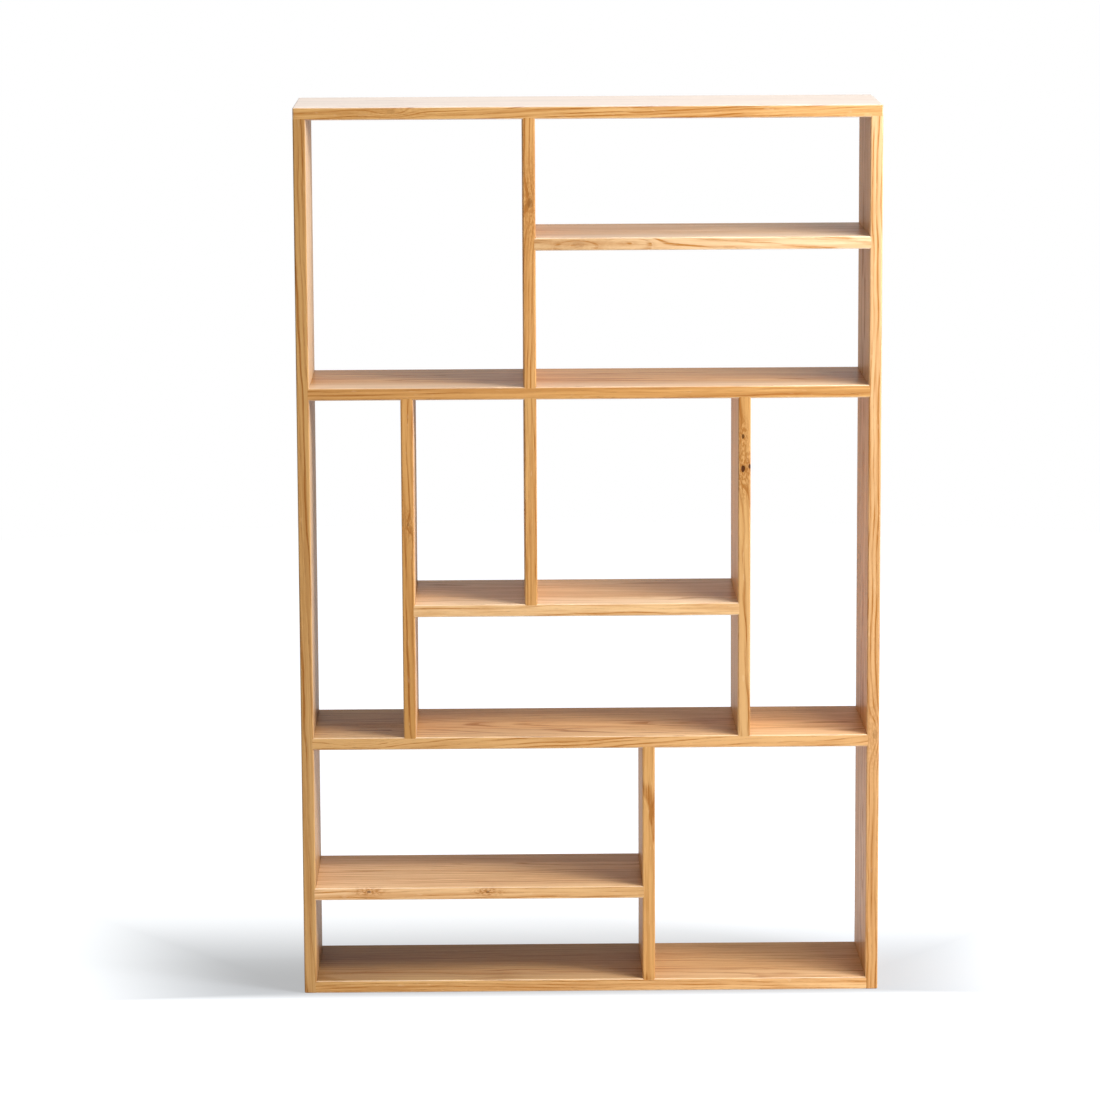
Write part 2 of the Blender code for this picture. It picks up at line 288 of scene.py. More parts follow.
LAMP_AIM = (0.0, 0.0, 0.95)
LAMPS = (
    Lamp("key_lamp", (3.30, -1.90, 2.725), 1.2, 1.2, "key_power"),
    Lamp("high_lamp", (1.77, -0.16, 4.76), 1.2, 1.2, "high_power"),
    Lamp("near_lamp", (1.30, -1.30, 2.30), 0.8, 0.8, "near_power"),
    Lamp("fill_lamp", (-3.00, -2.50, 2.50), 2.0, 2.0, "fill_power"),
)
SENSOR_WIDTH = 36.0

# Kinds of socket on a node group; a number's socket is told by the value it starts at
VECTOR = "NodeSocketVector"
COLOUR = "NodeSocketColor"
MATERIAL = "NodeSocketMaterial"
NUMBER_SOCKETS = {float: "NodeSocketFloat", int: "NodeSocketInt"}


class BookcaseBoardSettings(PropertyGroup):
    """Sizes that all boards share."""

    easing: FloatProperty(
        name="Easing", description="Radius of the eased arrises",
        default=0.003, min=0.0005, max=0.01, unit="LENGTH",
    )
    staves: IntProperty(
        name="Staves", description="Staves glued side by side in a board",
        default=4, min=1, max=8,
    )
    uneven: FloatProperty(
        name="Uneven", description="How far a glue line may stray from even spacing",
        default=0.014, min=0.0, max=0.03, unit="LENGTH",
    )


class BookcaseOakSettings(PropertyGroup):
    """The oak's colours and figure."""

    light_wood: FloatVectorProperty(
        name="Light wood", description="Oak between the growth rings",
        default=(0.73, 0.425, 0.148), min=0.0, max=1.0, subtype="COLOR",
    )
    deep_wood: FloatVectorProperty(
        name="Deep wood", description="Oak in the dark streaks and rings",
        default=(0.42, 0.160, 0.030), min=0.0, max=1.0, subtype="COLOR",
    )
    red_wood: FloatVectorProperty(
        name="Red wood", description="Oak that leans to red",
        default=(0.68, 0.328, 0.088), min=0.0, max=1.0, subtype="COLOR",
    )
    pale_wood: FloatVectorProperty(
        name="Pale wood", description="The palest boards",
        default=(0.90, 0.635, 0.385), min=0.0, max=1.0, subtype="COLOR",
    )
    # Oak worn pale, and the colour of the painted highlights on the arrises and of the painted
    # light on faces
    bleached_wood: FloatVectorProperty(
        name="Worn and lit wood", description="Oak that daylight and hands have worn pale",
        default=(0.93, 0.81, 0.64), min=0.0, max=1.0, subtype="COLOR",
    )
    # The colour of the painted sheen on a matt board, a near-white face where light falls
    painted_sheen_wood: FloatVectorProperty(
        name="Painted sheen wood", description="Oak that daylight has bleached and dried out matt",
        default=(0.95, 0.87, 0.81), min=0.0, max=1.0, subtype="COLOR",
    )
    knot_wood: FloatVectorProperty(
        name="Knot wood", description="The heart of a knot",
        default=(0.090, 0.024, 0.002), min=0.0, max=1.0, subtype="COLOR",
    )
    ring_width: FloatProperty(
        name="Ring width", description="Mean width of a growth ring",
        default=0.0072, min=0.001, max=0.02, unit="LENGTH",
    )
    wander: FloatProperty(
        name="Wander", description="How far the rings stray along a stave",
        default=0.022, min=0.0, max=0.05, unit="LENGTH",
    )


class BookcaseStudioSettings(PropertyGroup):
    """Lamps, floor and camera."""

    key_power: FloatProperty(
        name="Key", description="Soft lamp in front on the right",
        default=144.0, min=0.0, max=2000.0, unit="POWER",
    )
    high_power: FloatProperty(
        name="High", description="Soft lamp high on the right",
        default=97.0, min=0.0, max=2000.0, unit="POWER",
    )
    near_power: FloatProperty(
        name="Near", description="Small soft lamp close to the right front",
        default=30.0, min=0.0, max=2000.0, unit="POWER",
    )
    fill_power: FloatProperty(
        name="Fill", description="Wide lamp in front on the left",
        default=14.0, min=0.0, max=2000.0, unit="POWER",
    )
    ambient: FloatProperty(
        name="Ambient", description="White light from all round",
        default=0.21, min=0.0, max=2.0,
    )
    floor_colour: FloatVectorProperty(
        name="Floor", description="Pale floor",
        default=(0.80, 0.80, 0.80), min=0.0, max=1.0, subtype="COLOR",
    )
    camera_place: FloatVectorProperty(
        name="Camera place", description="Where the camera stands",
        default=(-0.1746, -9.5224, 2.5078), subtype="TRANSLATION",
    )
    camera_heading: FloatProperty(
        name="Heading", description="Turn to the right of straight ahead",
        default=0.00991, subtype="ANGLE",
    )
    camera_pitch: FloatProperty(
        name="Pitch", description="Tilt below the horizon",
        default=0.16601, subtype="ANGLE",
    )
    camera_roll: FloatProperty(
        name="Roll", description="Turn about the line of sight",
        default=-0.00507, subtype="ANGLE",
    )
    lens: FloatProperty(
        name="Lens", description="Focal length on a 36 mm sensor",
        default=150.9, min=20.0, max=400.0, unit="CAMERA",
    )


class Value:
    """What a node gives: a number, a vector, a colour or geometry. Arithmetic adds nodes."""

    def __init__(self, tree, socket):
        self.tree = tree
        self.socket = socket

    def __add__(self, other):
        return calc("ADD", self, other)

    def __sub__(self, other):
        return calc("SUBTRACT", self, other)

    def __rsub__(self, other):
        return calc("SUBTRACT", other, self)

    def __mul__(self, other):
        return calc("MULTIPLY", self, other)

    def __truediv__(self, other):
        return calc("DIVIDE", self, other)

    def __neg__(self):
        return self * -1.0


def is_vector(value):
    """Whether a value holds three numbers."""
    if isinstance(value, Value):
        return value.socket.type in {"VECTOR", "RGBA"}
    return isinstance(value, tuple)


def tree_of(values):
    """The node tree of a call's values. Plain numbers and vectors have none."""
    return next(value.tree for value in values if isinstance(value, Value))


def connect(tree, entry, value):
    """Link an input to what another node gives, or set it to a plain value."""
    if isinstance(value, Value):
        tree.links.new(value.socket, entry)
    else:
        entry.default_value = value


def feed(tree, node, inputs):
    """Link or set a node's inputs, by name or number."""
    for key, value in inputs.items():
        connect(tree, node.inputs[key], value)


def place(tree, kind, inputs=None, **settings):
    """Add a node, set its settings and feed its inputs."""
    node = tree.nodes.new(kind)
    for name, value in settings.items():
        setattr(node, name, value)
    feed(tree, node, inputs or {})
    return node


def result(tree, kind, inputs=None, output=0, **settings):
    """Add a node and take one of its outputs, the first unless another is asked for."""
    return Value(tree, place(tree, kind, inputs, **settings).outputs[output])


def outputs_of(tree, node):
    """All that a node gives, by name."""
    return {output.name: Value(tree, output) for output in node.outputs}


def calc(operation, *values):
    """One math node's result, which is a vector where any of the values is one."""
    kind = "ShaderNodeVectorMath" if any(map(is_vector, values)) else "ShaderNodeMath"
    return result(tree_of(values), kind, dict(enumerate(values)), operation=operation)


def fold(operation, first, *others):
    """One math operation carried through any number of values."""
    for value in others:
        first = calc(operation, first, value)
    return first


def clamped(number):
    """A number kept between 0 and 1."""
    return result(number.tree, "ShaderNodeClamp", {"Value": number})


def weighted(parts, weights, base=0.0):
    """A base, with each part times its weight added."""
    for name, weight in weights.items():
        base = parts[name] * weight + base
    return base


def vector_length(vector):
    """Length of a vector."""
    return result(vector.tree, "ShaderNodeVectorMath", {0: vector}, "Value", operation="LENGTH")


def parts_of(vector):
    """The three numbers of a vector."""
    node = place(vector.tree, "ShaderNodeSeparateXYZ", {0: vector})
    return [Value(vector.tree, output) for output in node.outputs]


def joined(*numbers):
    """A vector from three numbers."""
    return result(tree_of(numbers), "ShaderNodeCombineXYZ", dict(enumerate(numbers)))


def ramp(number, low, high, to_low=0.0, to_high=1.0):
    """A smooth step of a number from low to high."""
    return result(number.tree, "ShaderNodeMapRange",
                  {"Value": number, "From Min": low, "From Max": high,
                   "To Min": to_low, "To Max": to_high},
                  interpolation_type="SMOOTHSTEP")


def fade(number, low, high):
    """A smooth step down from 1 at low to 0 at high."""
    return ramp(number, low, high, 1.0, 0.0)


def blend(factor, first, second):
    """Two colours mixed."""
    node = place(factor.tree, "ShaderNodeMix", data_type="RGBA")
    entries = {entry.identifier: entry for entry in node.inputs}
    connect(factor.tree, entries["Factor_Float"], factor)
    connect(factor.tree, entries["A_Color"], first)
    connect(factor.tree, entries["B_Color"], second)
    mixed = next(output for output in node.outputs if output.identifier == "Result_Color")
    return Value(factor.tree, mixed)


def noise(vector, pattern, output=0):
    """A pattern's noise, as a number or, from output 1, as a vector."""
    return result(vector.tree, "ShaderNodeTexNoise",
                  {"Vector": vector * pattern.cells, "Scale": 1.0, "Detail": pattern.detail,
                   "Roughness": pattern.rough}, output)


def drift(vector, pattern):
    """A pattern's noise as a vector round zero."""
    return noise(vector, pattern, output=1) - (MEAN_NOISE,) * 3


def patches(vector, pattern):
    """How strong a pattern is."""
    return ramp(noise(vector, pattern), pattern.low, pattern.high, pattern.weak, pattern.strong)


def new_group(kind, name, inputs):
    """A new node group and what it is given. Each input has a kind, or the value it starts at."""
    tree = bpy.data.node_groups.new(name, kind)
    for label, start in inputs.items():
        socket_type = NUMBER_SOCKETS.get(type(start), start)
        made = tree.interface.new_socket(label, in_out="INPUT", socket_type=socket_type)
        if socket_type != start:
            made.default_value = start
    return tree, outputs_of(tree, tree.nodes.new("NodeGroupInput"))


def give(tree, results):
    """Make a group's outputs, connect them and return the group."""
    for label, value in results.items():
        made = value.socket
        socket_type = NUMBER_SOCKETS[float] if made.type == "VALUE" else made.bl_idname
        tree.interface.new_socket(label, in_out="OUTPUT", socket_type=socket_type)
    feed(tree, tree.nodes.new("NodeGroupOutput"), results)
    return tree


def shared(name, make):
    """A node group that is made once."""
    return bpy.data.node_groups.get(name) or make(name)


def use_group(name, make, inputs):
    """What a shared node group gives in the tree of its inputs."""
    tree = tree_of(inputs.values())
    kind = tree.bl_idname.replace("Tree", "Group")
    return outputs_of(tree, place(tree, kind, inputs, node_tree=shared(name, make)))


def eased_rows_group(name):
    """Where a row of vertices goes on one axis of a board.

    The first and last rows turn the arris at even angles, the next keep the flat face flat, and
    those between are the glue lines.
    """
    inputs = {"Place": 0.0, "Rows": 2.0, "Low": 0.0, "High": 1.0, "Low Easing": 0.0,
              "High Easing": 0.0, "Stray": 0.0, "Seed": 0}
    tree, given = new_group("GeometryNodeTree", name, inputs)
    last = given["Rows"] - 1.0
    index = calc("ROUND", (given["Place"] + 0.5) * last)
    nearest = calc("MINIMUM", index, last - index)
    on_high = calc("GREATER_THAN", index, last * 0.5)
    side = on_high * 2.0 - 1.0
    easing = on_high * (given["High Easing"] - given["Low Easing"]) + given["Low Easing"]
    turn = clamped((float(EASING_STEPS) - nearest) / float(EASING_STEPS))
    reach = easing * calc("TANGENT", turn * (math.pi / 4))
    holding = calc("LESS_THAN", nearest, float(END_ROWS)) * HOLDING_STRIP
    share = clamped((index - float(END_ROWS)) / (last - 2.0 * END_ROWS))
    flat_low = given["Low"] + given["Low Easing"] + HOLDING_STRIP
    flat_high = given["High"] - given["High Easing"] - HOLDING_STRIP
    even = share * (flat_high - flat_low) + flat_low
    chance = result(tree, "FunctionNodeRandomValue", {"ID": index, "Seed": given["Seed"]}, 1,
                    data_type="FLOAT")
    inside = calc("GREATER_THAN", nearest, END_ROWS + 0.5)
    strayed = (chance - 0.5) * given["Stray"] * inside
    return give(tree, {"Coordinate": even + strayed + side * (holding + reach)})


def arris_hollow(depth, easing):
    """How far an eased arris falls back from the square edge, at a depth below the face."""
    left = calc("MAXIMUM", easing - depth, 0.0)
    square = calc("MAXIMUM", easing * easing - left * left, 0.0)
    return easing - calc("SQRT", square)


def store(geometry, name, value, domain):
    """Keep a number or a vector on the mesh under a name."""
    data_type = "FLOAT_VECTOR" if is_vector(value) else "FLOAT"
    return result(geometry.tree, "GeometryNodeStoreNamedAttribute",
                  {"Geometry": geometry, "Name": name, "Value": value},
                  data_type=data_type, domain=domain)


def board_tree(name):
    """The Geometry Nodes tree of a board glued up from staves, with its length on X."""
    inputs = {"Length": 1.0, "Depth": 0.3, "Thickness": 0.026, "Easing": 0.003,
              "Start Easing": 0.0, "End Easing": 0.0, "Start Scribe": 1.0, "End Scribe": 1.0,
              "Outside Scribe": 0.0, "Uneven": 0.014, "Staves": 4, "Seed": 1,
              "Finish": MATERIAL}
    tree, given = new_group("GeometryNodeTree", name, inputs)
    plain_rows = 2.0 * END_ROWS + 2.0
    depth_rows = given["Staves"] + (plain_rows - 1.0)
    blank = result(tree, "GeometryNodeMeshCube",
                   {"Size": (1.0, 1.0, 1.0), "Vertices X": int(plain_rows),
                    "Vertices Y": depth_rows, "Vertices Z": int(plain_rows)})
    unit = parts_of(result(tree, "GeometryNodeInputPosition"))

    # The stave that a face belongs to, kept before the blank is shaped
    row = (unit[1] + 0.5) * (depth_rows - 1.0)
    stave = calc("MAXIMUM", calc("FLOOR", row - float(END_ROWS)), 0.0)
    stave = calc("MINIMUM", stave, given["Staves"] - 1.0)
    marked = store(blank, "stave", stave, "FACE")

    # Set out the rows of vertices on each axis
    half = [given[size] * 0.5 for size in ("Length", "Depth", "Thickness")]
    minus = [-size for size in half]
    even = (given["Easing"], given["Easing"])
    easings = ((given["Start Easing"], given["End Easing"]), even, even)
    counts = (plain_rows, depth_rows, plain_rows)
    strays = (0.0, given["Uneven"], 0.0)
    spots = []
    lows = []
    highs = []
    for axis, (low_easing, high_easing) in enumerate(easings):
        row = use_group("Eased rows", eased_rows_group,
                        {"Place": unit[axis], "Rows": counts[axis], "Low": minus[axis],
                         "High": half[axis], "Low Easing": low_easing,
                         "High Easing": high_easing, "Stray": strays[axis],
                         "Seed": given["Seed"]})
        spots.append(row["Coordinate"])
        lows.append(minus[axis] + low_easing)
        highs.append(half[axis] - high_easing)

    # Round the arrises: draw each point in to the core and back out by the easing
    spot = joined(*spots)
    core = calc("MAXIMUM", spot, joined(*lows))
    core = calc("MINIMUM", core, joined(*highs))
    outward = spot - core
    sizes = parts_of(calc("ABSOLUTE", outward))
    largest = fold("MAXIMUM", *sizes)
    smallest = fold("MINIMUM", *sizes)
    share = largest / calc("MAXIMUM", vector_length(outward), NEARLY_NOTHING)
    rounded = core + outward * share
    middle = fold("ADD", *sizes) - largest - smallest
    arris = middle / calc("MAXIMUM", largest, NEARLY_NOTHING)
    edged = store(marked, "arris", arris, "POINT")

    # Scribe a joined end over the eased arrises of the board that it meets
    across, upward = parts_of(rounded)[1:]
    from_face = half[1] - calc("ABSOLUTE", across)
    from_outside = half[2] - upward * given["Outside Scribe"]
    at_start = calc("COMPARE", spots[0], minus[0], SAME_PLACE)
    at_end = calc("COMPARE", spots[0], half[0], SAME_PLACE)
    over_faces = arris_hollow(from_face, given["Easing"])
    over_outside = (arris_hollow(from_outside, given["Easing"])
                    * calc("ABSOLUTE", given["Outside Scribe"]))
    start_reach = at_start * over_faces * given["Start Scribe"]
    end_reach = at_end * calc("MAXIMUM", over_faces, over_outside) * given["End Scribe"]
    scribe = joined(end_reach - start_reach, 0.0, 0.0)
    shaped = result(tree, "GeometryNodeSetPosition",
                    {"Geometry": edged, "Position": rounded + scribe})
    merged = result(tree, "GeometryNodeMergeByDistance",
                    {"Geometry": shaped, "Distance": SAME_PLACE})
    smooth = result(tree, "GeometryNodeSetShadeSmooth", {"Geometry": merged}, domain="FACE")
    angle = result(tree, "GeometryNodeInputMeshEdgeAngle")
    sharp = result(tree, "GeometryNodeSetShadeSmooth",
                   {"Geometry": smooth, "Shade Smooth": False,
                    "Selection": calc("GREATER_THAN", angle, SHARP_ANGLE)},
                   domain="EDGE")

    # Board coordinates, and for each stave its own log's coordinates, round the pith
    spot_now = result(tree, "GeometryNodeInputPosition")
    kept = store(sharp, "board_co", spot_now, "POINT")
    owner = result(tree, "GeometryNodeInputNamedAttribute", {"Name": "stave"},
                   data_type="FLOAT")
    draws = []
    for number in (1, 2, 3):
        chance = result(tree, "FunctionNodeRandomValue",
                        {"ID": owner, "Seed": given["Seed"] + DRAW_STEP * number},
                        data_type="FLOAT_VECTOR")
        draws.append(parts_of(chance))
    (turn, off_pith, along_log), (lean_y, lean_z, _), (deep, bright, _) = draws
    turn = turn * (2.0 * math.pi)
    off_pith = off_pith * PITH_SPREAD + NEAREST_PITH
    x, y, z = parts_of(spot_now)
    log_y = x * (lean_y * (2.0 * PITH_LEAN) - PITH_LEAN) + y
    log_z = x * (lean_z * (2.0 * PITH_LEAN) - PITH_LEAN) + z
    log_spot = joined(along_log * LOG_LENGTH + x,
                      log_y + off_pith * calc("COSINE", turn),
                      log_z + off_pith * calc("SINE", turn))
    logged = store(kept, "log_co", log_spot, "CORNER")
    facing = parts_of(result(tree, "GeometryNodeInputNormal"))
    end_grain = calc("GREATER_THAN", calc("ABSOLUTE", facing[0]), END_GRAIN_SLOPE)
    told = store(logged, "stave_traits", joined(deep, bright, end_grain), "FACE")
    real = result(tree, "GeometryNodeRealizeInstances", {"Geometry": told})
    finished = result(tree, "GeometryNodeSetMaterial",
                      {"Geometry": real, "Material": given["Finish"]})
    return give(tree, {"Geometry": finished})


def knot_group(name):
    """A small knot whose branch runs back from the front edge."""
    tree, given = new_group("ShaderNodeTree", name,
                            {"Position": VECTOR, "Centre": VECTOR, "Radius": 0.004})
    spot = given["Position"]
    away = spot - given["Centre"] + drift(spot, KNOT_OUTLINE) * KNOT_BEND
    depth = calc("ABSOLUTE", parts_of(away)[1])
    close = vector_length(away * KNOT_DRAWN_OUT)
    wide = vector_length(away * RINGS_DRAWN_OUT)
    reach = wide / (given["Radius"] * RINGS_REACH)
    near = fade(depth, *HEART_BACK)
    heart = fade(close / given["Radius"], *HEART_EDGE) * near
    halo = fade(reach, *HALO_EDGE) * fade(depth, *HALO_BACK) * patches(spot, KNOT_MOTTLE)
    fall = calc("POWER", math.e, -(reach * reach))
    lift = fall * near * (given["Radius"] * RINGS_LIFT)
    return give(tree, {"Heart": heart, "Lift": lift, "Halo": halo})


def rings_group(name):
    """Growth rings round the pith of a log."""
    tree, given = new_group("ShaderNodeTree", name,
                            {"Log Position": VECTOR, "Lift": 0.0, "Ring Width": 0.005,
                             "Wander": 0.016})
    spot = given["Log Position"]
    wander = joined(0.0, given["Wander"], given["Wander"])
    across = (spot + drift(spot, RING_DRIFT) * wander) * ACROSS_GRAIN
    radius = vector_length(across) + given["Lift"]
    radius = (noise(spot, RING_WOBBLE) - MEAN_NOISE) * WOBBLE_SIZE + radius
    pace = noise(joined(radius, 0.0, 0.0), RING_PACE)
    count = (pace * PACE_SIZE + radius) / given["Ring Width"]
    chance = result(tree, "ShaderNodeTexWhiteNoise", {"W": calc("FLOOR", count)}, "Value",
                    noise_dimensions="1D")
    _, sideways, upward = parts_of(across)
    return give(tree, {"Phase": calc("FRACT", count), "Ring": chance,
                       "Angle": calc("ARCTAN2", upward, sideways)})


def edge_wear_and_highlight_group(name):
    """Where an eased arris is worn pale, unevenly along its length; at a high strength it is a
    painted highlight along the arris.
    """
    tree, given = new_group("ShaderNodeTree", name,
                            {"Position": VECTOR, "Arris": 0.0, "Strength": 0.3})
    uneven = patches(given["Position"], WORN_PATCHES)
    # Real wear, and where the strength is high a painted highlight along the lit arris
    wear = ramp(given["Arris"], *WORN_ARRIS) * uneven * given["Strength"]
    return give(tree, {"Wear": wear})


def painted_light_group(name):
    """Painted light on a shelf's top or an upright's faces: pale from the front back, where light
    falls and sheen shows.
    """
    tree, given = new_group("ShaderNodeTree", name,
                            {"Position": VECTOR, "Front": 0.0, "Face": 0.0, "Reach": 0.1,
                             "Strength": 0.0})
    _, across, upward = parts_of(given["Position"])
    below = calc("ABSOLUTE", given["Face"] - upward)
    back = (across - given["Front"]) / given["Reach"]
    stray = noise(given["Position"], PAINTED_LIGHT_PATCHES) - MEAN_NOISE
    back = stray * PAINTED_LIGHT_STRAY + back
    # Pale painted light, a pool of light and sheen on the open face that fades towards the back
    bleach = fade(below, *PAINTED_LIGHT_SKIN) * fade(back, *PAINTED_LIGHT_END)
    return give(tree, {"Bleach": bleach * given["Strength"]})


def oak_group(name):
    """Oak's colour, roughness and relief from its rings, pores, rays and streaks, with wear,
    painted highlights and painted light mixed into the colour.
    """
    inputs = {"Log Position": VECTOR, "Traits": VECTOR, "Phase": 0.0, "Ring": 0.0, "Angle": 0.0,
              "Halo": 0.0, "Heart": 0.0, "Wear": 0.0, "Bleach": 0.0, "Bright": 1.0, "Pale": 0.0,
              "Warm": 0.3}
    inputs.update(dict.fromkeys(WOODS, COLOUR))
    tree, given = new_group("ShaderNodeTree", name, inputs)
    spot = given["Log Position"]
    deep_stave, bright_stave, end_grain = parts_of(given["Traits"])

    early = ramp(given["Phase"], *EARLY_BEGINS) * fade(given["Phase"], *EARLY_ENDS)
    ring = early * (given["Ring"] * RING_CONTRAST + FAINTEST_RING)
    parts = {
        "early wood": early,
        "ring": ring * patches(spot, RING_BREAKS) * patches(spot, RING_THREADS),
        "late wood": ramp(given["Phase"], *LATE_BEGINS),
        "streaks": patches(spot, STREAKS),
        "fibre": noise(spot, FIBRE),
        "pores": patches(spot, PORES) * (early * PORES_IN_EARLY + PORES_ANYWHERE),
        "stave": deep_stave,
        "end grain": end_grain,
        "wear": given["Wear"],
    }
    depth = clamped(weighted(parts, DEPTH_WEIGHTS, LEAST_DEPTH))

    red_patches = patches(spot, RED_PATCHES) * RED_PATCH_SHARE
    red = clamped(red_patches + given["Warm"] + LEAST_RED)
    light = blend(red, given["Light Wood"], given["Red Wood"])
    light = blend(given["Pale"], light, given["Pale Wood"])
    deep = blend(given["Pale"] * RED_IN_PALE_DEEP, given["Deep Wood"], given["Red Wood"])
    colour = blend(depth, light, deep)
    from_pith = vector_length(spot * ACROSS_GRAIN)
    sheet = joined(parts_of(spot)[0], given["Angle"], from_pith)
    for factor, wood in ((parts["pores"] * PORE_DARKNESS, "Knot Wood"),
                         (patches(sheet, RAYS) * RAY_PALENESS, "Pale Wood"),
                         (given["Halo"] * HALO_DARKNESS, "Deep Wood"),
                         (given["Heart"], "Knot Wood")):
        colour = blend(factor, colour, given[wood])
    gain = bright_stave * STAVE_CONTRAST + DULLEST_STAVE
    gain = gain * (end_grain * END_GRAIN_SHADE + 1.0) * given["Bright"]
    # The pale colour of wear, of painted highlights on the arrises and of painted light on the
    # faces
    worn_and_lit_colour = given["Bleached Wood"] * (depth * WORN_AND_LIT_FIGURE + WORN_AND_LIT_BRIGHTNESS)
    worn_and_lit = calc("MAXIMUM", given["Wear"], given["Bleach"])
    return give(tree, {"Color": blend(worn_and_lit, colour * gain, worn_and_lit_colour),
                       "Roughness": weighted(parts, ROUGHNESS_WEIGHTS, PLAIN_ROUGHNESS),
                       "Height": weighted(parts, RELIEF_WEIGHTS)})


def opaque(colour):
    """A colour with full alpha."""
    return (colour[0], colour[1], colour[2], 1.0)


def new_material(name):
    """A new material and its node tree."""
    material = bpy.data.materials.new(name)
    material.use_nodes = True
    return material, material.node_tree


def finish_shader(tree, colour, roughness, height, relief):
    """Feed the material's own Principled shader, with relief."""
    shader = tree.nodes["Principled BSDF"]
    bump = result(tree, "ShaderNodeBump",
                  {"Height": height, "Strength": RELIEF_STRENGTH, "Distance": relief})
    feed(tree, shader, {"Base Color": colour, "Roughness": roughness, "Normal": bump})
    return shader


def attribute(tree, name, output="Vector"):
    """A value that the board's mesh keeps."""
    return result(tree, "ShaderNodeAttribute", None, output, attribute_name=name)


def between(along, ends):
    """A value that goes evenly from a board's start to its end."""
    here, there = ends
    return along * (there - here) + here


def knot_marks(board_co, knots):
    """The lift of the rings, the heart and the halo of all knots on a board."""
    lift = 0.0
    heart = 0.0
    halo = 0.0
    for centre, radius, darkness in knots:
        knot = use_group("Knot", knot_group,
                         {"Position": board_co, "Centre": centre, "Radius": radius})
        lift = knot["Lift"] + lift
        heart = calc("MAXIMUM", knot["Heart"] * darkness, heart)
        halo = calc("MAXIMUM", knot["Halo"] * min(HALO_TO_HEART * darkness, 1.0), halo)
    return lift, heart, halo


def painted_light_on(board, size, board_co, strength):
    """The painted light on a shelf's top, or on both wide faces of an upright."""
    if board.bleach == NOWHERE:
        return 0.0
    _, depth, thickness = size
    face = thickness / 2
    if board.grain == "Z":
        # Fold the left face onto the right one, which has the board's own -Z side
        x, y, z = parts_of(board_co)
        board_co = joined(x, y, -calc("ABSOLUTE", z))
        face = -face
    light = use_group("Daylight", painted_light_group,
                      {"Position": board_co, "Front": -depth / 2, "Face": face,
                       "Reach": board.reach, "Strength": strength})
    return light["Bleach"]


def face_light_and_shade(board, depth, board_co, along, bright):
    """A board's brightness, with painted light and shade on its wide faces that differs from that
    on its edges.
    """
    if board.face == EVEN:
        return bright
    face = between(along, board.face)
    from_middle = calc("ABSOLUTE", parts_of(board_co)[1])
    on_edge = ramp(from_middle, *(depth / 2 - inset for inset in FACE_TO_EDGE))
    return bright * (on_edge * (1.0 - face) + face)


def oak_material(board, size, knots, oak):
    """The oak of one board."""
    length, depth, _ = size
    material, tree = new_material("oak_" + board.node)
    board_co = attribute(tree, "board_co")
    log_co = attribute(tree, "log_co")
    along = parts_of(board_co)[0] * (1.0 / length) + 0.5
    lift, heart, halo = knot_marks(board_co, knots)
    worn_and_lit = use_group("Edge wear", edge_wear_and_highlight_group,
                     {"Position": board_co, "Arris": attribute(tree, "arris", "Fac"),
                      "Strength": SHELF_WEAR_AND_HIGHLIGHT if board.grain == "X" else UPRIGHT_WEAR})
    # Painted light: the pale strip or face where light falls
    bleach = painted_light_on(board, size, board_co, between(along, board.bleach))
    bright = between(along, board.bright)
    # Painted light and shade on the wide faces
    bright = face_light_and_shade(board, depth, board_co, along, bright)
    woods = {name: opaque(getattr(oak, name.lower().replace(" ", "_"))) for name in WOODS}
    specular = OILED_SPECULAR
    # A matt board gets a painted sheen, a near-white colour, in place of the worn and lit colour
    if board.dry:
        woods["Bleached Wood"] = between(along, board.dry) * tuple(oak.painted_sheen_wood)
        specular = 0.0
    rings = use_group("Growth rings", rings_group,
                      {"Log Position": log_co, "Lift": lift, "Ring Width": oak.ring_width,
                       "Wander": oak.wander})
    wood = use_group("Oak", oak_group,
                     {"Log Position": log_co, "Traits": attribute(tree, "stave_traits"),
                      "Phase": rings["Phase"], "Ring": rings["Ring"], "Angle": rings["Angle"],
                      "Halo": halo, "Heart": heart, "Wear": worn_and_lit["Wear"], "Bleach": bleach,
                      "Bright": bright, "Pale": between(along, board.pale),
                      "Warm": board.warm, **woods})
    shader = finish_shader(tree, wood["Color"], wood["Roughness"], wood["Height"], OAK_RELIEF)
    feed(tree, shader, {"IOR": OAK_IOR, "Specular IOR Level": specular,
                        "Coat Weight": board.gloss, "Coat Roughness": GLOSS_ROUGHNESS})
    return material


def add_object(name, data):
    """A new object in the scene."""
    made = bpy.data.objects.new(name, data)
    bpy.context.scene.collection.objects.link(made)
    return made


def board_placement(low, high, grain):
    """The board's own length, depth and thickness, and where its middle and axes lie."""
    size = high - low
    middle = Matrix.Translation((low + high) / 2)
    if grain == "X":
        return (size.x, size.y, size.z), middle
    return (size.z, size.y, size.x), middle @ Matrix.Rotation(-math.pi / 2, 4, "Y")


def knot_places(board, low, high, to_board):
    """Each knot's centre in the board's own coordinates, its radius and how dark its heart is."""
    middle = (low + high) / 2
    knots = []
    for knot in board.knots:
        if board.grain == "X":
            spot = Vector((knot.along, low.y, middle.z + knot.across))
        else:
            spot = Vector((middle.x + knot.across, low.y, knot.along))
        knots.append((to_board @ spot, knot.radius, knot.heart))
    return knots


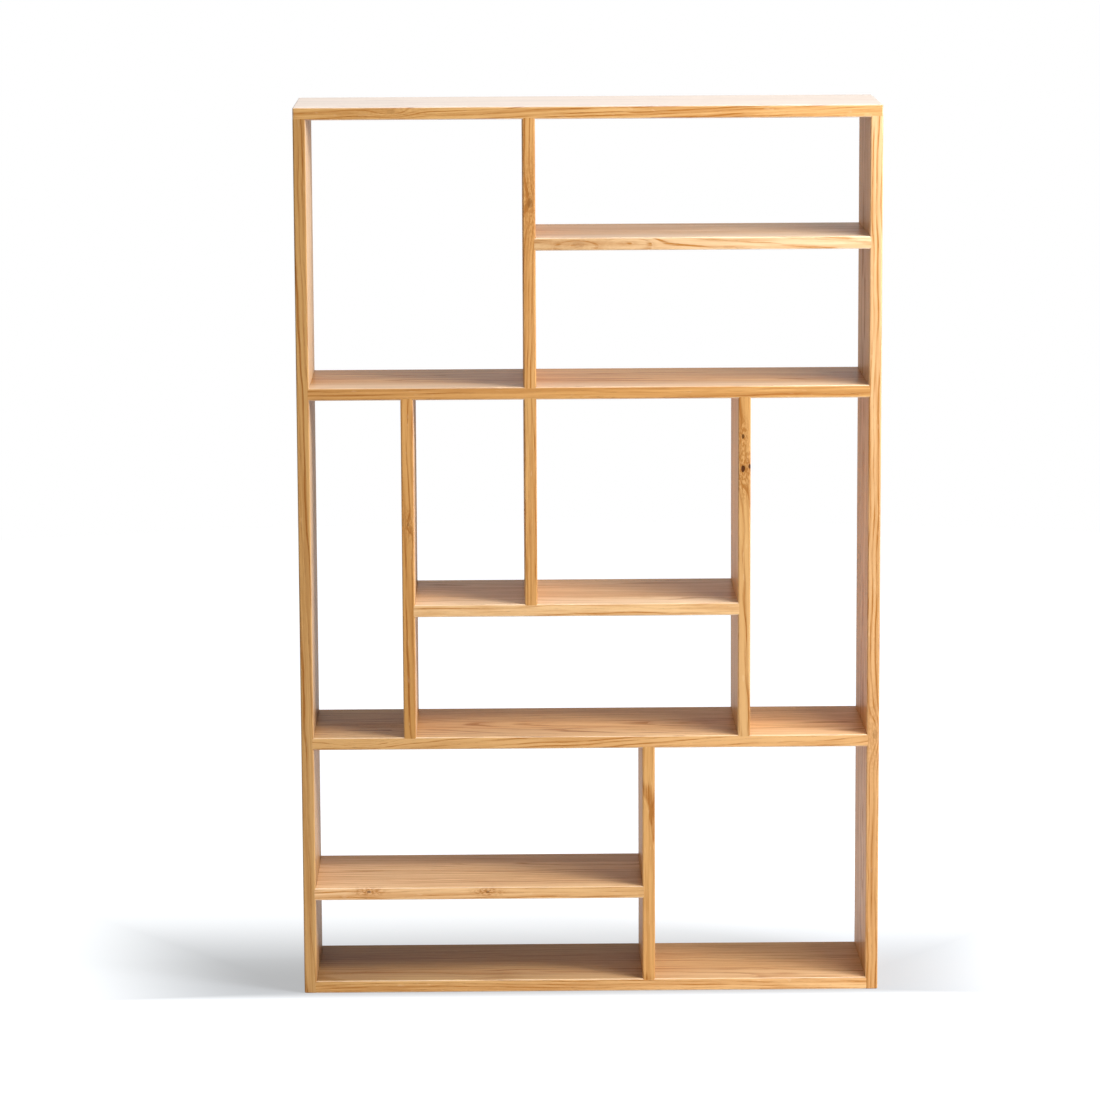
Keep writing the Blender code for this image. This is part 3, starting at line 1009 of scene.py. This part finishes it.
def glue_up(name, values):
    """The plain mesh that the Geometry Nodes tree makes of these values."""
    tree = shared("Glued board", board_tree)
    carrier = add_object(name + "_carrier", bpy.data.meshes.new("carrier"))
    gluing = carrier.modifiers.new("gluing up", "NODES")
    gluing.node_group = tree
    for item in tree.interface.items_tree:
        if item.in_out == "INPUT":
            gluing[item.identifier] = values[item.name]
    graph = bpy.context.evaluated_depsgraph_get()
    mesh = bpy.data.meshes.new_from_object(carrier.evaluated_get(graph),
                                           preserve_all_data_layers=True, depsgraph=graph)
    carrier.modifiers.remove(gluing)
    bpy.data.objects.remove(carrier, do_unlink=True)
    if not mesh.polygons:
        raise RuntimeError(f"{name} came out empty")
    return mesh


def make_board(board):
    """Glue up one board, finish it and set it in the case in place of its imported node."""
    settings = bpy.context.scene.bookcase_boards
    oak = bpy.context.scene.bookcase_oak
    low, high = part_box(board.node)
    size, placement = board_placement(low, high, board.grain)
    knots = knot_places(board, low, high, placement.inverted())

    # On an upright the board's own Z axis points to the left
    outside = 1.0 if low.x + high.x < 0.0 else -1.0

    length, depth, thickness = size
    mesh = glue_up(board.node, {
        "Length": length, "Depth": depth, "Thickness": thickness, "Easing": settings.easing,
        "Start Easing": settings.easing if board.start == FREE else 0.0,
        "End Easing": settings.easing if board.end == FREE else 0.0,
        "Start Scribe": 0.0 if board.start == FREE else 1.0,
        "End Scribe": 0.0 if board.end == FREE else 1.0,
        "Outside Scribe": outside if board.end == SCRIBED_OUTSIDE else 0.0,
        "Uneven": settings.uneven, "Staves": settings.staves, "Seed": board.seed,
        "Finish": oak_material(board, size, knots, oak),
    })
    mesh.name = board.node + "_oak"
    mesh.transform(placement)
    piece = add_object(board.node + "_oak", mesh)
    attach(piece, "root")
    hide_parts(board.node)


def beech_material():
    """Beech: pale and even, with short dark flecks."""
    material, tree = new_material("beech_tenon_finish")
    spot = result(tree, "ShaderNodeTexCoord", output="Object")
    cloud = noise(spot, BEECH_CLOUDS)
    colour = blend(cloud, BEECH_LIGHT, BEECH_DEEP)
    flecks = patches(spot, BEECH_FLECKS) * FLECK_STRENGTH
    finish_shader(tree, blend(flecks, colour, BEECH_FLECK),
                  cloud * BEECH_UNEVEN + BEECH_ROUGHNESS, noise(spot, BEECH_GRAIN),
                  BEECH_RELIEF)
    return material


def seen(paths):
    """1 where a ray comes from the camera, straight or by a gloss, and 0 where it brings light."""
    return fold("MAXIMUM", paths["Is Camera Ray"], paths["Is Glossy Ray"],
                paths["Is Transmission Ray"])


def floor_material(colour):
    """A pale floor that reads as white in the open and glows less in a patch round the bookcase, a
    painted grey shadow over the bookcase's soft real shadow.
    """
    material, tree = new_material("pale_floor")
    spot = result(tree, "ShaderNodeTexCoord", output="Object")
    paths = outputs_of(tree, place(tree, "ShaderNodeLightPath"))
    specks = noise(spot, FLOOR_GRAIN) * FLOOR_SPECK_STRENGTH
    tint = blend(specks, opaque(colour), FLOOR_SPECK)
    x, y, _ = parts_of(spot)
    open_floor = fold("MAXIMUM", ramp(x, *SHADOW_RIGHT), fade(x, *SHADOW_LEFT),
                      fade(y, *SHADOW_FRONT), ramp(y, *SHADOW_BACK))
    # The lower glow in the patch round the bookcase paints a grey shadow there, over the real
    # shadow
    glow = seen(paths) * (open_floor * (1.0 - SHADOW_GLOW) + SHADOW_GLOW)
    feed(tree, tree.nodes["Principled BSDF"],
         {"Base Color": blend(paths["Is Camera Ray"], tint, FLOOR_SEEN),
          "Roughness": 1.0, "Specular IOR Level": 0.0, "Emission Color": FLOOR_GLOW,
          "Emission Strength": glow})
    return material


def make_floor(colour):
    """A wide round floor under the bookcase."""
    bm = bmesh.new()
    bmesh.ops.create_circle(bm, cap_ends=True, segments=128, radius=FLOOR_RADIUS)
    mesh = bpy.data.meshes.new("studio_floor")
    bm.to_mesh(mesh)
    bm.free()
    mesh.materials.append(floor_material(colour))
    floor = add_object("studio_floor", mesh)


def make_world(ambient):
    """White all round for the camera and for gloss, and a lower even light on the object."""
    world = bpy.data.worlds.new("white_studio")
    world.use_nodes = True
    tree = world.node_tree
    tree.nodes.clear()
    paths = outputs_of(tree, place(tree, "ShaderNodeLightPath"))
    glow = result(tree, "ShaderNodeBackground",
                  {"Color": WHITE, "Strength": seen(paths) * (1.0 - ambient) + ambient})
    place(tree, "ShaderNodeOutputWorld", {"Surface": glow})
    bpy.context.scene.world = world


def make_lamp(lamp, power):
    """A soft rectangular lamp, turned to the middle of the bookcase."""
    data = bpy.data.lights.new(lamp.name, "AREA")
    data.shape = "RECTANGLE"
    data.size = lamp.width
    data.size_y = lamp.height
    data.energy = power
    made = add_object(lamp.name, data)
    made.location = lamp.spot
    aim = Vector(LAMP_AIM) - Vector(lamp.spot)
    made.rotation_euler = aim.to_track_quat("-Z", "Y").to_euler()


def make_camera(studio):
    """The camera at the photograph's viewing angle."""
    data = bpy.data.cameras.new("studio_camera")
    data.sensor_width = SENSOR_WIDTH
    data.sensor_fit = "HORIZONTAL"
    data.lens = studio.lens
    camera = add_object("studio_camera", data)
    heading = Matrix.Rotation(-studio.camera_heading, 4, "Z")
    pitch = Matrix.Rotation(math.pi / 2 - studio.camera_pitch, 4, "X")
    roll = Matrix.Rotation(studio.camera_roll, 4, "Z")
    stand = Matrix.Translation(Vector(studio.camera_place))
    camera.matrix_world = stand @ heading @ pitch @ roll
    bpy.context.scene.camera = camera


class BOOKCASE_OT_case(Operator):
    """Glue up the two sides, the top and the bottom"""

    bl_idname = "bookcase.case"
    bl_label = "Case Boards"

    def execute(self, context):
        for board in CASE_BOARDS:
            make_board(board)
        return {"FINISHED"}


class BOOKCASE_OT_shelves(Operator):
    """Glue up the two long shelves and the three short ones"""

    bl_idname = "bookcase.shelves"
    bl_label = "Shelves"

    def execute(self, context):
        for board in SHELF_BOARDS:
            make_board(board)
        return {"FINISHED"}


class BOOKCASE_OT_dividers(Operator):
    """Glue up the five dividers"""

    bl_idname = "bookcase.dividers"
    bl_label = "Dividers"

    def execute(self, context):
        for board in DIVIDER_BOARDS:
            make_board(board)
        return {"FINISHED"}


class BOOKCASE_OT_tenons(Operator):
    """Give the loose tenons in the joints their beech"""

    bl_idname = "bookcase.tenons"
    bl_label = "Loose Tenons"

    def execute(self, context):
        beech = beech_material()
        tenons = [thing for name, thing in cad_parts.items() if "tenon_" in name]
        if not tenons:
            raise RuntimeError("the packed model has no tenons")
        for tenon in tenons:
            for slot in tenon.material_slots:
                slot.material = beech
        return {"FINISHED"}


class BOOKCASE_OT_studio(Operator):
    """Set the floor, the lamps, the white surround and the camera"""

    bl_idname = "bookcase.studio"
    bl_label = "Studio"

    def execute(self, context):
        studio = context.scene.bookcase_studio
        make_floor(studio.floor_colour)
        make_world(studio.ambient)
        for lamp in LAMPS:
            make_lamp(lamp, getattr(studio, lamp.power))
        make_camera(studio)
        context.scene.view_settings.view_transform = "Standard"
        return {"FINISHED"}


class BOOKCASE_PT_panel(Panel):
    """The bookcase's parts and settings in the sidebar."""

    bl_idname = "BOOKCASE_PT_panel"
    bl_label = "Oak Bookcase"
    bl_space_type = "VIEW_3D"
    bl_region_type = "UI"
    bl_category = "Bookcase"

    def draw(self, context):
        layout = self.layout
        for operator in OPERATORS:
            layout.operator(operator.bl_idname)
        for group in (context.scene.bookcase_boards, context.scene.bookcase_oak,
                      context.scene.bookcase_studio):
            box = layout.box()
            for name in group.__annotations__:
                box.prop(group, name)


OPERATORS = (BOOKCASE_OT_case, BOOKCASE_OT_shelves, BOOKCASE_OT_dividers, BOOKCASE_OT_tenons,
             BOOKCASE_OT_studio)
SETTINGS = (BookcaseBoardSettings, BookcaseOakSettings, BookcaseStudioSettings)
CLASSES = SETTINGS + OPERATORS + (BOOKCASE_PT_panel,)


def register():
    """Add the classes and the scene's settings."""
    for item in CLASSES:
        bpy.utils.register_class(item)
    bpy.types.Scene.bookcase_boards = PointerProperty(type=BookcaseBoardSettings)
    bpy.types.Scene.bookcase_oak = PointerProperty(type=BookcaseOakSettings)
    bpy.types.Scene.bookcase_studio = PointerProperty(type=BookcaseStudioSettings)


def unregister():
    """Take them away again."""
    del bpy.types.Scene.bookcase_studio
    del bpy.types.Scene.bookcase_oak
    del bpy.types.Scene.bookcase_boards
    for item in reversed(CLASSES):
        bpy.utils.unregister_class(item)


def main():
    """Build the bookcase and its studio."""
    register()
    bpy.ops.bookcase.case()
    bpy.ops.bookcase.shelves()
    bpy.ops.bookcase.dividers()
    bpy.ops.bookcase.tenons()
    bpy.ops.bookcase.studio()


if __name__ == "__main__":
    main()
